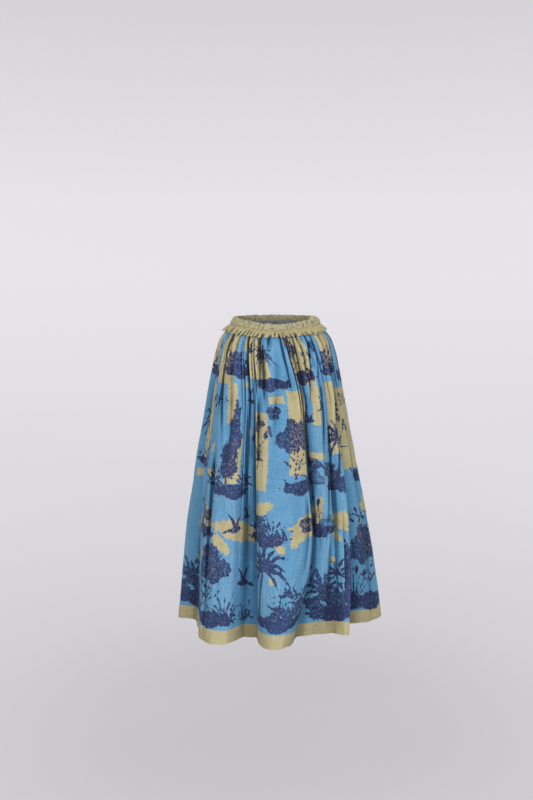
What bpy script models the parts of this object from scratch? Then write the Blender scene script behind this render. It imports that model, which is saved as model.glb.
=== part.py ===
"""A full gathered calico skirt in its worn, hollow form.

The frame is in metres with +Z up. The origin is the centre of the waist opening, level with the
band's upper edge, where the skirt is held. The front faces -Y. Angles go round from the front,
through +X, and a drop is a distance below the origin.

The two printed panels share one draped surface. Its plan at each height is an ellipse, pushed in
and out along fold lines that run from the waist to the hem, with fine gathers under the band.
"""
import math

import bpy
import numpy as np

MM_PER_M = 1000

# Driving dimensions
SEAM_DROP = 0.018
HEM_DROP = 0.868
FRONT_DIP = 0.0135
DIP_SHARPNESS = 6
DIP_FADE = 0.16
PIECE_GAP = 0.0003
PANEL_WALL = 0.0012
FRILL_WALL = 0.0010

# The mean plan of the skirt at each drop: half width, half depth and the centre's shift
SECTION_COLUMNS = ("drop", "half_width", "half_depth", "shift_x", "shift_y")
SECTIONS = (
    (-0.010, 0.1045, 0.0855, 0.000, 0.000),
    (0.000, 0.1085, 0.0890, 0.000, 0.000),
    (0.021, 0.1265, 0.1040, 0.000, 0.000),
    (0.033, 0.1360, 0.1130, 0.000, 0.000),
    (0.070, 0.1570, 0.1350, 0.000, 0.002),
    (0.170, 0.1790, 0.1600, 0.000, 0.006),
    (0.295, 0.2000, 0.1790, 0.000, 0.010),
    (0.575, 0.2450, 0.2230, 0.006, 0.012),
    (0.868, 0.2750, 0.2560, 0.014, 0.012),
    (0.900, 0.2770, 0.2580, 0.014, 0.012),
)

# The large folds. Each row is one crest or trough line. Its angle in degrees is given at the four
# levels below, and how far it stands proud of the mean plan, in millimetres, at the lower three.
FOLD_LEVELS = (SEAM_DROP, 0.250, 0.550, HEM_DROP)
FOLD_COLUMNS = ("line", "waist", "hip", "knee", "hem", "hip_proud", "knee_proud", "hem_proud")
FOLDS = (
    ("left side crest", -92, -93, -88, -82, 8, 14, 22),
    ("left side trough", -82, -84, -73, -75, -12, -20, -21),
    ("left wall", -69, -68, -59, -57, -2, 3, 0),
    ("left front edge", -56, -52, -45, -40, 10, 32, 57),
    ("left front crest", -46, -42, -36, -33, 14, 38, 65),
    ("left front turn", -38, -30, -27, -27, 8, 26, 46),
    ("left recess", -33, -24, -22, -24, -12, -20, -29),
    ("recess floor", -27, -19, -16, -17, -11, -20, -32),
    ("centre edge", -22, -15, -12, -11, 5, 16, 26),
    ("centre crest", -6, 1, 5, -3, 12, 36, 60),
    ("centre turn", 8, 20, 20, 5, 6, 18, 22),
    ("centre trough", 16, 26, 26, 11, -14, -22, -41),
    ("right panel", 28, 37, 34, 25, 6, 4, -45),
    ("right shallow", 39, 46, 42, 37, 2, -6, -34),
    ("right corner", 49, 55, 50, 40, 4, 12, 12),
    ("right recess", 64, 64, 59, 59, -15, -24, -55),
    ("right flank", 72, 73, 67, 67, 0, 2, -20),
    ("right side crest", 88, 88, 86, 86, 8, 14, 20),
    ("back first trough", 99, 100, 100, 99, -10, -18, -24),
    ("back first edge", 108, 110, 112, 112, 8, 20, 34),
    ("back first crest", 118, 121, 123, 124, 8, 21, 33),
    ("back second trough", 128, 129, 130, 130, -12, -20, -36),
    ("back second floor", 138, 139, 141, 142, -6, -14, -28),
    ("back second edge", 145, 147, 148, 149, 8, 22, 36),
    ("back second crest", 155, 158, 159, 160, 10, 26, 48),
    ("back third trough", 166, 168, 168, 167, -10, -20, -24),
    ("back third floor", 176, 177, 177, 177, -8, -18, -36),
    ("back third edge", 184, 184, 185, 185, 8, 24, 44),
    ("back third crest", 195, 196, 197, 198, 10, 26, 52),
    ("back fourth trough", 205, 206, 206, 205, -12, -18, -26),
    ("back fourth floor", 215, 216, 217, 218, -6, -14, -38),
    ("back fourth edge", 223, 225, 226, 226, 8, 20, 36),
    ("back fourth crest", 234, 236, 238, 239, 8, 22, 34),
    ("back fifth trough", 245, 246, 247, 247, -10, -18, -28),
    ("back fifth floor", 256, 257, 259, 262, -2, -6, -12),
)
RIGHT_SEAM_LINE = "right side crest"

# The fine gathers that the band draws in. What varies them is a sum of small waves, and each wave
# in these tables is a size, a rate and a start.
GATHERS_PER_PANEL = 30
GATHER_SHIFTS = ((0.22, 2.4, 0.0), (0.12, 5.1, 1.0))
GATHER_SHARES = ((0.25, 3.7, 0.5),)
GATHER_MEAN_SHARE = 0.80
GATHER_REACHES = ((0.50, 7.3, 2.0),)
GATHER_FADE_START = 0.35
CREASE_SHARPNESS = 2.5
GATHER_DEPTH = 0.0040
GATHER_TOP_DEPTH = 0.0003
GATHER_RISE = (SEAM_DROP, 0.075)
GATHER_LENGTHS = (0.12, 0.36)
STEPS_PER_GATHER = 4

# Heights of the panels' rings of points: fine where the gathers are, then coarser
FINE_DROPS = (SEAM_DROP + PIECE_GAP, 0.034, 0.056, 0.090, 0.140, 0.210, 0.300)
COARSE_DROPS = (0.370, 0.450, 0.530, 0.610, 0.690, 0.760, 0.820, HEM_DROP)

# The ruched band, with its two small bunches at the upper edge
BAND_PUCKERS = 42
BAND_STEPS_PER_PUCKER = 3
BAND_PUCKER_DEPTH = 0.0009
BAND_SLIPS = ((1.6, 7, 0.0), (1.0, 11, 1.0))
BAND_PROFILE = (
    # share of the height down, inner proud, outer proud
    (0.00, 0.0030, 0.0070),
    (0.18, 0.0018, 0.0088),
    (0.60, 0.0000, 0.0065),
    (1.00, -0.0011, 0.0025),
)
# Each bunch is an angle, a height and a half width in degrees
BUNCHES = ((-80, 0.0045, 7.0), (66, 0.0095, 7.0))

# The pleated frill under the band
FRILL_WAVES = 70
FRILL_STEPS_PER_WAVE = 4
FRILL_LENGTH = 0.0145
FRILL_TOP_PROUD = 0.0021
FRILL_LOW_PROUD = 0.0068
FRILL_TOP_DEPTH = 0.00025
FRILL_LOW_DEPTH = 0.0024
FRILL_SLIPS = ((0.9, 9, 2.0),)
FRILL_EDGE_WAVES = ((0.0006, 13, 0.0),)

CALICO_BLUE = (0.10, 0.32, 0.50, 1.0)
KHAKI = (0.40, 0.35, 0.22, 1.0)


def column(rows, names, name):
    """One named column of a table, as an array of numbers."""
    place = names.index(name)
    return np.array([row[place] for row in rows], dtype=float)


def monotone_curve(x, knots, values):
    """A smooth curve through the values at the knots that never overshoots them."""
    knots = np.asarray(knots, dtype=float)
    values = np.asarray(values, dtype=float)
    spread = (-1,) + (1,) * (values.ndim - 1)
    step = np.diff(knots).reshape(spread)
    slope = np.diff(values, axis=0) / step
    product = slope[:-1] * slope[1:]
    total = np.where(product > 0, slope[:-1] + slope[1:], 1.0)
    inner = np.where(product > 0, 2 * product / total, 0.0)
    tangent = np.concatenate([slope[:1], inner, slope[-1:]])
    x = np.clip(np.atleast_1d(x), knots[0], knots[-1])
    index = np.clip(np.searchsorted(knots, x, side="right") - 1, 0, len(knots) - 2)
    width = step[index]
    t = (x - knots[index]).reshape(spread) / width
    start = values[index] * (1 + 2 * t) * (1 - t) ** 2
    leave = tangent[index] * width * t * (1 - t) ** 2
    end = values[index + 1] * t ** 2 * (3 - 2 * t)
    arrive = tangent[index + 1] * width * t ** 2 * (t - 1)
    return start + leave + end + arrive


def uneven(order, waves):
    """A sum of small waves, the same each time, that varies a repeat by its order."""
    return sum(size * np.sin(rate * order + start) for size, rate, start in waves)


def smooth_step(low, high, x):
    """0 below low, 1 above high, and a smooth ramp between."""
    t = np.clip((x - low) / (high - low), 0.0, 1.0)
    return t * t * (3 - 2 * t)


def place(angle, drop, proud):
    """Points at angles in degrees and drops, standing proud of the mean plan."""
    angle, drop, proud = np.broadcast_arrays(angle, drop, proud)
    knots = column(SECTIONS, SECTION_COLUMNS, "drop")
    flat_drop = drop.ravel()
    plan = {}
    for name in SECTION_COLUMNS[1:]:
        values = column(SECTIONS, SECTION_COLUMNS, name)
        plan[name] = monotone_curve(flat_drop, knots, values).reshape(drop.shape)
    turn = np.radians(angle)
    across = plan["half_width"] * np.sin(turn)
    along = -plan["half_depth"] * np.cos(turn)
    stretch = 1 + proud / np.hypot(across, along)
    dip = FRONT_DIP * (0.5 + 0.5 * np.cos(turn)) ** DIP_SHARPNESS * np.exp(-np.maximum(drop, 0) / DIP_FADE)
    x = plan["shift_x"] + across * stretch
    y = plan["shift_y"] + along * stretch
    return np.stack([x, y, -drop - dip], axis=-1)


def fold_stations():
    """Each fold line's place in the flat cloth, from 0 to 1, and its angles and prouds by level."""
    angles = np.stack([column(FOLDS, FOLD_COLUMNS, name) for name in ("waist", "hip", "knee", "hem")])
    lower = ("hip_proud", "knee_proud", "hem_proud")
    prouds = np.stack([column(FOLDS, FOLD_COLUMNS, name) for name in lower])
    prouds = np.concatenate([np.zeros((1, len(FOLDS))), prouds / MM_PER_M])
    hem = place(angles[-1], HEM_DROP, prouds[-1])
    lengths = np.linalg.norm(np.roll(hem, -1, axis=0) - hem, axis=1)
    cloth = np.concatenate([[0.0], np.cumsum(lengths)])
    return cloth[:-1] / cloth[-1], angles, prouds


CLOTH, ANGLES, PROUDS = fold_stations()
RIGHT_SEAM = CLOTH[[row[0] for row in FOLDS].index(RIGHT_SEAM_LINE)]


def drape(cloth, drop):
    """Angle and proud of the large folds, for cloth positions from 0 to 1 at each drop."""
    wraps = 3
    knots = np.concatenate([CLOTH[-wraps:] - 1, CLOTH, CLOTH[:wraps] + 1])
    at_levels = []
    for values, turn in ((ANGLES, 360.0), (PROUDS, 0.0)):
        ring = np.concatenate([values[:, -wraps:] - turn, values, values[:, :wraps] + turn], axis=1)
        per_level = monotone_curve(cloth, knots, ring.T).T
        at_levels.append(monotone_curve(drop, FOLD_LEVELS, per_level))
    return at_levels


def gather_lines():
    """Cloth position, depth and length of each gather's crease, uneven but the same each time."""
    order = np.arange(2 * GATHERS_PER_PANEL)
    number = order % GATHERS_PER_PANEL
    shift = np.where(number == 0, 0.0, uneven(order, GATHER_SHIFTS))
    in_front = order < GATHERS_PER_PANEL
    start = np.where(in_front, 0.0, RIGHT_SEAM)
    span = np.where(in_front, RIGHT_SEAM, 1.0 - RIGHT_SEAM)
    where = start + span * (number + shift) / GATHERS_PER_PANEL
    depth = GATHER_DEPTH * (GATHER_MEAN_SHARE + uneven(order, GATHER_SHARES))
    shortest, longest = GATHER_LENGTHS
    reach = (0.5 + uneven(order, GATHER_REACHES)) ** 1.5
    length = shortest + (longest - shortest) * reach
    return np.append(where, 1.0), np.append(depth, depth[0]), np.append(length, length[0])


GATHER_AT, GATHER_DEPTHS, GATHER_ENDS = gather_lines()


def gather_cloth(steps):
    """Cloth positions of the columns of points, so many steps to each gather."""
    share = np.arange(steps) / steps
    starts = GATHER_AT[:-1, None]
    widths = np.diff(GATHER_AT)[:, None]
    return (starts + widths * share).ravel()


def gather_proud(cloth, drop):
    """How far the gathers move the cloth in or out: round crests and narrow creases."""
    index = np.clip(np.searchsorted(GATHER_AT, cloth, side="right") - 1, 0, len(GATHER_AT) - 2)
    phase = (cloth - GATHER_AT[index]) / (GATHER_AT[index + 1] - GATHER_AT[index])
    down = np.asarray(drop, dtype=float)[:, None]
    rise = GATHER_TOP_DEPTH / GATHER_DEPTH
    rise = rise + (1 - rise) * smooth_step(GATHER_RISE[0], GATHER_RISE[1], down)
    sides = []
    for crease in (index, index + 1):
        end = GATHER_ENDS[crease]
        fade = 1 - smooth_step(GATHER_FADE_START * end, end, down)
        sides.append(GATHER_DEPTHS[crease] * rise * fade)
    depth = sides[0] * (1 - phase) + sides[1] * phase
    return depth * (1 - 2 * np.abs(2 * phase - 1) ** CREASE_SHARPNESS)


def outward(points):
    """Unit normals of a closed ring grid of points, rows from top to bottom."""
    around = np.roll(points, -1, axis=1) - np.roll(points, 1, axis=1)
    down = np.gradient(points, axis=0)
    normal = np.cross(down, around)
    return normal / np.linalg.norm(normal, axis=-1, keepdims=True)


def skirt_grids(steps, drops):
    """Outer and inner points all round the skirt, and each column's unit tangent."""
    cloth = gather_cloth(steps)
    angle, proud = drape(cloth, drops)
    down = np.asarray(drops)[:, None]
    outer = place(angle, down, proud + gather_proud(cloth, drops))
    inner = outer - PANEL_WALL * outward(outer)
    inner[..., 2] = outer[..., 2]
    tangent = np.roll(outer, -1, axis=1) - np.roll(outer, 1, axis=1)
    tangent[..., 2] = 0
    return outer, inner, tangent / np.linalg.norm(tangent, axis=-1, keepdims=True)


def panel_rows(grids, first, last):
    """The columns of one panel, its two side edges drawn in by half a gap at the seams."""
    outer, inner, tangent = grids
    count = outer.shape[1]
    columns = np.arange(first, last + 1) % count
    draw_in = np.zeros((outer.shape[0], len(columns), 3))
    draw_in[:, 0] = tangent[:, columns[0]] * PIECE_GAP / 2
    draw_in[:, -1] = -tangent[:, columns[-1]] * PIECE_GAP / 2
    return list(outer[:, columns] + draw_in), list(inner[:, columns] + draw_in)


def wall_faces(rows, closed):
    """Faces between rows of point numbers, top to bottom, also where a row has half the points."""
    faces = []
    for upper, lower in zip(rows[:-1], rows[1:]):
        if closed:
            upper = np.append(upper, upper[0])
            lower = np.append(lower, lower[0])
        if len(upper) == len(lower):
            for a, b, c, d in zip(upper[:-1], lower[:-1], lower[1:], upper[1:]):
                faces.append((a, b, c, d))
            continue
        for number in range(len(lower) - 1):
            left, middle, right = upper[2 * number:2 * number + 3]
            faces.append((left, lower[number], middle))
            faces.append((middle, lower[number], lower[number + 1]))
            faces.append((middle, lower[number + 1], right))
    return faces


def make_wall(name, outer_rows, inner_rows, closed, material):
    """One closed solid between an outer and an inner surface, each a list of rows of points."""
    points = []
    numbers = []
    for row in outer_rows + inner_rows:
        numbers.append(np.arange(len(points), len(points) + len(row)))
        points.extend(row)
    outside = numbers[:len(outer_rows)]
    inside = numbers[len(outer_rows):]
    faces = wall_faces(outside, closed)
    faces += [face[::-1] for face in wall_faces(inside, closed)]
    faces += wall_faces([inside[0], outside[0]], closed)
    faces += wall_faces([outside[-1], inside[-1]], closed)
    if not closed:
        for end, turn in ((0, 1), (-1, -1)):
            for k in range(len(outside) - 1):
                face = (outside[k][end], inside[k][end], inside[k + 1][end], outside[k + 1][end])
                faces.append(face[::turn])
    mesh = bpy.data.meshes.new(name)
    mesh.from_pydata([tuple(point) for point in points], [], [tuple(int(n) for n in f) for f in faces])
    mesh.validate()
    mesh.shade_smooth()
    mesh.materials.append(material)
    piece = bpy.data.objects.new(name, mesh)
    bpy.context.scene.collection.objects.link(piece)
    return piece


def make_material(name, colour, roughness):
    """A plain cloth material."""
    material = bpy.data.materials.new(name)
    material.use_nodes = True
    shader = material.node_tree.nodes["Principled BSDF"]
    shader.inputs["Base Color"].default_value = colour
    shader.inputs["Roughness"].default_value = roughness
    shader.inputs["Metallic"].default_value = 0.0
    return material


def make_panels():
    """The front and back panels, one drape cut at the two side seams."""
    fine = skirt_grids(STEPS_PER_GATHER, FINE_DROPS)
    coarse = skirt_grids(STEPS_PER_GATHER // 2, COARSE_DROPS)
    for number, name in enumerate(("front_panel", "back_panel")):
        outer_rows, inner_rows = [], []
        for grids, steps in ((fine, STEPS_PER_GATHER), (coarse, STEPS_PER_GATHER // 2)):
            width = GATHERS_PER_PANEL * steps
            outer, inner = panel_rows(grids, number * width, (number + 1) * width)
            outer_rows += outer
            inner_rows += inner
        material = make_material(name + "_calico", CALICO_BLUE, 0.85)
        make_wall(name, outer_rows, inner_rows, False, material)


def turns_and_angles(count, slips):
    """So many columns once round: each one's turn in radians, and its uneven angle in degrees."""
    turn = 2 * math.pi * np.arange(count) / count
    return turn, np.degrees(turn) + uneven(turn, slips)


def bunch_height(angle):
    """How far the small bunches lift the band's upper edge."""
    lift = np.zeros_like(angle)
    for at, height, width in BUNCHES:
        away = (angle - at + 180) % 360 - 180
        lift += height * np.exp(-(away / width) ** 2)
    return lift


def make_waistband():
    """The ruched casing, a thick soft ring that flares from the waist to the seam."""
    turn, angle = turns_and_angles(BAND_PUCKERS * BAND_STEPS_PER_PUCKER, BAND_SLIPS)
    pucker = BAND_PUCKER_DEPTH * np.cos(BAND_PUCKERS * turn)
    lift = bunch_height(angle) + pucker / 2
    outer, inner = [], []
    for height_share, inner_proud, outer_proud in BAND_PROFILE:
        drop = SEAM_DROP * height_share - lift * (1 - height_share) ** 2
        ease = min(1.0, 2.5 * (1 - height_share))
        outer.append(place(angle, drop, outer_proud + ease * pucker))
        inner.append(place(angle, drop, inner_proud + ease * pucker / 2))
    make_wall("waistband", outer, inner, True, make_material("waistband_cotton", KHAKI, 0.9))


def make_frill():
    """The pleated strip that stands out over the top of the gathers."""
    turn, angle = turns_and_angles(FRILL_WAVES * FRILL_STEPS_PER_WAVE, FRILL_SLIPS)
    wave = np.cos(FRILL_WAVES * turn)
    low_edge = SEAM_DROP + FRILL_LENGTH + uneven(turn, FRILL_EDGE_WAVES)
    top = place(angle, SEAM_DROP + PIECE_GAP, FRILL_TOP_PROUD + FRILL_TOP_DEPTH * wave)
    low = place(angle, low_edge, FRILL_LOW_PROUD + FRILL_LOW_DEPTH * wave)
    outer = np.stack([top, low])
    normal = outward(outer)
    normal[0] = normal[0] * (1, 1, 0)
    normal /= np.linalg.norm(normal, axis=-1, keepdims=True)
    inner = outer - FRILL_WALL * normal
    inner[1, :, 2] = outer[1, :, 2]
    make_wall("frill", list(outer), list(inner), True, make_material("frill_cotton", KHAKI, 0.9))


def main():
    """Clear the scene and build the four pieces."""
    for old in list(bpy.data.objects):
        bpy.data.objects.remove(old, do_unlink=True)
    make_panels()
    make_waistband()
    make_frill()


main()
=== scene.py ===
"""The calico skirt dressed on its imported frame.

Everything is in metres in the part's frame: +Z up, the front towards -Y, the origin at the centre
of the waist opening. A drop is a distance below the origin, and angles go round from the front
through +X. The drape's tables and functions are the solids' own, so each piece lies on its solid.
"""
import math

import bpy
import numpy as np
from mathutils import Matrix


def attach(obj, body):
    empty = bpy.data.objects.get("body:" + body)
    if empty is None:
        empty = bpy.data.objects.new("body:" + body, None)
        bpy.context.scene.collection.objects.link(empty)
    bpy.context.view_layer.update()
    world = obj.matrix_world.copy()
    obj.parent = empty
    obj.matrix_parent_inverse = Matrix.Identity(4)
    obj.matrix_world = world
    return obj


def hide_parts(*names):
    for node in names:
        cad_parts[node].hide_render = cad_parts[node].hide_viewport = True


MM = 0.001

# The drape, as in the solids

SEAM_DROP = 0.018
HEM_DROP = 0.868
FRONT_DIP = 0.0135
DIP_SHARPNESS = 6
DIP_FADE = 0.16
PIECE_GAP = 0.0003

# The mean plan: drop, half width, half depth and the centre's shift in x and y
SECTIONS = (
    (-0.01, 0.1045, 0.0855, 0, 0), (0.0, 0.1085, 0.089, 0, 0), (0.021, 0.1265, 0.104, 0, 0),
    (0.033, 0.136, 0.113, 0, 0), (0.07, 0.157, 0.135, 0, 0.002), (0.17, 0.179, 0.16, 0, 0.006),
    (0.295, 0.2, 0.179, 0, 0.01), (0.575, 0.245, 0.223, 0.006, 0.012),
    (0.868, 0.275, 0.256, 0.014, 0.012), (0.9, 0.277, 0.258, 0.014, 0.012),
)

# One row for each crest or trough line: its angle at the four levels, and how far it stands proud
# of the mean plan at the lower three, in millimetres. The front's run from the left side crest to
# the right one, where the right seam is, and the back's from trough to crest, five times.
FOLD_LEVELS = (SEAM_DROP, 0.25, 0.55, HEM_DROP)
FRONT_FOLDS = (
    (-92, -93, -88, -82, 8, 14, 22), (-82, -84, -73, -75, -12, -20, -21), (-69, -68, -59, -57, -2, 3, 0),
    (-56, -52, -45, -40, 10, 32, 57), (-46, -42, -36, -33, 14, 38, 65), (-38, -30, -27, -27, 8, 26, 46),
    (-33, -24, -22, -24, -12, -20, -29), (-27, -19, -16, -17, -11, -20, -32),
    (-22, -15, -12, -11, 5, 16, 26), (-6, 1, 5, -3, 12, 36, 60), (8, 20, 20, 5, 6, 18, 22),
    (16, 26, 26, 11, -14, -22, -41), (28, 37, 34, 25, 6, 4, -45), (39, 46, 42, 37, 2, -6, -34),
    (49, 55, 50, 40, 4, 12, 12), (64, 64, 59, 59, -15, -24, -55), (72, 73, 67, 67, 0, 2, -20),
    (88, 88, 86, 86, 8, 14, 20),
)
BACK_FOLDS = (
    (99, 100, 100, 99, -10, -18, -24), (108, 110, 112, 112, 8, 20, 34), (118, 121, 123, 124, 8, 21, 33),
    (128, 129, 130, 130, -12, -20, -36), (138, 139, 141, 142, -6, -14, -28),
    (145, 147, 148, 149, 8, 22, 36), (155, 158, 159, 160, 10, 26, 48),
    (166, 168, 168, 167, -10, -20, -24), (176, 177, 177, 177, -8, -18, -36),
    (184, 184, 185, 185, 8, 24, 44), (195, 196, 197, 198, 10, 26, 52),
    (205, 206, 206, 205, -12, -18, -26), (215, 216, 217, 218, -6, -14, -38),
    (223, 225, 226, 226, 8, 20, 36), (234, 236, 238, 239, 8, 22, 34),
    (245, 246, 247, 247, -10, -18, -28), (256, 257, 259, 262, -2, -6, -12),
)

# The gathers. Each wave in these tables is a size, a rate and a start.
GATHERS_PER_PANEL = 30
GATHER_SHIFTS = ((0.22, 2.4, 0.0), (0.12, 5.1, 1.0))
GATHER_SHARES = ((0.25, 3.7, 0.5),)
GATHER_MEAN_SHARE = 0.8
GATHER_REACHES = ((0.5, 7.3, 2.0),)
GATHER_FADE_START = 0.35
CREASE_SHARPNESS = 2.5
GATHER_DEPTH = 0.004
GATHER_TOP_DEPTH = 0.0003
GATHER_RISE = (SEAM_DROP, 0.075)
GATHER_LENGTHS = (0.12, 0.36)

# The ruched band
BAND_PUCKERS = 42
BAND_PUCKER_DEPTH = 0.0009
BAND_SLIPS = ((1.6, 7, 0.0), (1.0, 11, 1.0))
# Its cross section: share of the height down, inner proud, outer proud
BAND_PROFILE = ((0, 0.003, 0.007), (0.18, 0.0018, 0.0088), (0.6, 0, 0.0065), (1, -0.0011, 0.0025))
# Each bunch is an angle, a height and a half width in degrees
BUNCHES = ((-80, 0.0045, 7.0), (66, 0.0095, 7.0))

# The pleated frill
FRILL_WAVES = 70
FRILL_LENGTH = 0.0145
FRILL_TOP_PROUD = 0.0021
FRILL_LOW_PROUD = 0.0068
FRILL_TOP_DEPTH = 0.00025
FRILL_LOW_DEPTH = 0.0024
FRILL_SLIPS = ((0.9, 9, 2.0),)
# How early down its length the waves deepen and the frill stands out: below 1 is earlier
FRILL_DEEPENING = 0.7
FRILL_OPENING = 0.8

# Finer form than the solids have

CLOTH_THICKNESS = 0.0009
SHARP_ANGLE = 75
STEPS_PER_GATHER = 12
# Bands of rows down the panels: the drop where each ends, and its number of rows
ROW_BANDS = ((0.09, 28), (0.3, 52), (HEM_DROP, 121))
INNER_ROW_STEP = 3

# Soft creases on the panels, each along a line in the flat cloth: where it starts round the
# skirt, the drops of its top and its low end, how far it leans round by its low end, its half
# width, and how far it stands proud
ROUND_UNIT = 1e-4
CREASE_UNITS = (ROUND_UNIT, MM, MM, ROUND_UNIT, ROUND_UNIT, MM)
CREASE_RISE = 0.25
CREASE_FADE_START = 0.5
CREASES = (
    (749, 20, 150, 340, 30, -8.1), (1012, 20, 160, 215, 26, -7.4), (1154, 20, 85, 117, 24, -6.8),
    (1180, 40, 260, 150, 40, 4.2), (1316, 22, 310, 120, 26, -13.5), (1580, 50, 260, 100, 50, 4.8),
    (1624, 20, 90, 117, 24, -7.4), (1899, 22, 240, 245, 32, -11.2), (2199, 22, 280, 4, 26, -13.5),
    (2292, 20, 80, 16, 22, -6.8), (2290, 80, 420, -50, 40, 4.2), (2418, 20, 340, -130, 26, -6.8),
    (2560, 20, 90, -41, 22, -7.4), (2620, 80, 320, -120, 60, 4.2), (2680, 20, 140, -60, 24, -6.8),
    (2811, 22, 250, 12, 30, -12.8), (3000, 60, 300, -120, 36, 5.4), (3018, 20, 90, -57, 24, -6.8),
    (3131, 20, 180, -190, 24, -8.1), (3257, 22, 300, -350, 26, -12.8), (3340, 60, 300, -300, 30, 4.8),
    (3402, 20, 100, -113, 24, -6.8), (3431, 30, 280, -350, 26, -12), (3720, 60, 340, -300, 60, 5.4),
    (3860, 20, 110, -300, 28, -7.4), (4006, 22, 310, 85, 42, -13.5), (4260, 20, 160, -20, 30, -6.8),
    (4420, 30, 260, 30, 34, -8.1), (60, 40, 380, 80, 30, -6.8), (260, 20, 180, 60, 30, -7.4),
    (480, 20, 240, 120, 30, -8.1), (1008, 120, 400, 190, 28, -8.1), (1219, 170, 420, 18, 26, -6.8),
    (1502, 170, 600, -49, 34, -12), (2126, 180, 500, -16, 30, -8.1), (2321, 170, 400, -50, 26, -5.4),
    (2950, 150, 580, -32, 34, -18), (3100, 180, 500, -60, 40, 5.4), (3313, 140, 440, -220, 26, -8.8),
    (3338, 270, 580, -65, 28, -6.8), (3700, 190, 380, -240, 30, -7.4), (4120, 200, 720, -700, 36, -15),
    (3478, 480, 980, 40, 32, -14), (3001, 440, 720, 36, 30, -8.8), (1078, 300, 960, -90, 32, -11),
    (1425, 300, 940, 60, 36, -9), (460, 260, 720, -30, 50, 5.4), (760, 240, 640, 40, 40, -6.8),
    (2440, 420, 860, -60, 46, -4.7), (1300, 440, 860, 20, 46, -4.7), (2760, 400, 800, 40, 40, -6.8),
    (3200, 560, 900, 20, 40, -6.1), (3880, 460, 880, -60, 46, -6.8), (4300, 300, 820, 20, 46, -6.8),
    (4800, 50, 400, 60, 40, -9.7), (5080, 220, 700, -50, 50, 6.8), (5370, 60, 470, 30, 38, -9.2),
    (5680, 50, 340, -80, 36, -11.4), (5930, 280, 780, 60, 50, 6.8), (6180, 70, 520, 40, 40, -9.7),
    (6480, 160, 600, -60, 46, 6.1), (6780, 50, 380, 60, 36, -11.4), (7020, 420, 840, -40, 50, -9.2),
    (7300, 60, 440, 50, 40, -9.2), (7670, 200, 660, 60, 50, 6.8), (8010, 50, 360, -60, 36, -11.4),
    (8300, 340, 800, 40, 50, 6.1), (8610, 60, 500, -60, 40, -9.7), (8930, 80, 420, 50, 40, -8.5),
    (9230, 260, 740, -50, 50, 6.8), (9520, 60, 400, 40, 40, -9.7), (9830, 120, 560, -30, 40, 5.6),
    (4690, 20, 240, 40, 30, -9.5), (4960, 20, 300, -40, 30, -12), (5230, 22, 260, 60, 28, -9.5),
    (5480, 20, 340, -40, 30, -13.5), (5820, 20, 220, 50, 28, -9.5), (6050, 22, 300, -60, 30, -12),
    (6320, 20, 260, 40, 28, -11.2), (6640, 20, 320, 50, 30, -13.5), (6900, 22, 240, -60, 28, -9.5),
    (7170, 20, 280, 40, 30, -12), (7450, 20, 340, -50, 30, -13.5), (7830, 22, 240, 60, 28, -9.5),
    (8140, 20, 300, -40, 30, -12), (8450, 20, 260, 50, 28, -11.2), (8760, 22, 320, -50, 30, -12.8),
    (9080, 20, 240, 50, 28, -9.5), (9370, 20, 300, -40, 30, -12), (9680, 22, 260, 40, 28, -9.5),
    (9900, 200, 700, 150, 36, -9.5), (330, 250, 1000, 60, 60, -9), (2050, 340, 980, 10, 50, -9),
    (3335, 430, 960, 90, 34, -9), (2550, 440, 800, -100, 34, -9), (3250, 400, 700, -200, 30, -8),
    (4560, 360, 980, -300, 46, -8), (1620, 300, 980, 50, 40, -7), (2310, 480, 960, 60, 40, -6),
    (1230, 420, 960, -40, 40, -5),
)

# The side seams draw the cloth in a little between two soft edges, so many half widths away
SEAM_DIP = 0.0012
SEAM_HALF_WIDTH = 0.0022
SEAM_EDGE = 1.8

# Narrow valleys close under the band: short tucks that part some gathers in two, and the gathers'
# own creases, which are deeper where the cloth turns in. Their half width is a share of a gather.
# Each one's share varies in waves about a mean, and sets its depth and the drop where it ends.
TUCKS = {
    "depth": 0.003, "half_width": 0.09, "full": 0.034, "fade_start": 0.3, "ends": (0.05, 0.12),
    "mean": 0.55, "waves": ((0.55, 2.9, 0.3),), "most": 1,
}
TUCK_SHIFTS = ((0.16, 4.3, 1.0),)
TOP_CREASES = {
    "depth": 0.008, "half_width": 0.14, "full": 0.036, "fade_start": 0.25, "ends": (0.12, 0.33),
    "mean": 0.75, "waves": ((0.3, 1.9, 0.7), (0.2, 4.1, 0.0)), "most": 2,
}

# The finer form of the panels sets in between these drops
EASE = (0.018, 0.045)

# Small crumples: height, cells all round, cells down, and a seed
CRUMPLES = ((0.0009, 96, 9, 11), (0.0004, 230, 30, 12), (0.00016, 520, 90, 13))

# The turned-up hem: its height, how far it stands proud, and where that sets in about its top
HEM_BAND = 0.037
HEM_TURN = 0.0006
HEM_STEP = (-0.001, 0.003)
# The lower edge's waves, and how soon they fade above it
HEM_EDGE_WAVES = ((0.0009, 19, 0.4), (0.0005, 47, 1.3))
HEM_WAVE_FADE = 8

BAND_COLUMNS = 1200
BAND_ROWS = 19
BAND_INNER_ROWS = 9
BAND_EASE = 2.5
BAND_LOW_SHARE = 0.35
# Lengths of the band's and the frill's cloth
BAND_CLOTH = 0.8
FRILL_CLOTH = 1.6
# Crumples of the ruched band: height, cells round, cells down, seed
BAND_CRUMPLES = ((0.0015, 110, 4, 21), (0.00105, 240, 6, 22), (0.0005, 500, 10, 23))
# What varies only round the skirt: size, cells round, seed
BAND_EDGE_WAVES = ((0.0011, 90, 24), (0.0007, 260, 25))
# The crumples of band and frill are sharp in their valleys
VALLEY_SHARE = 2.2

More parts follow.
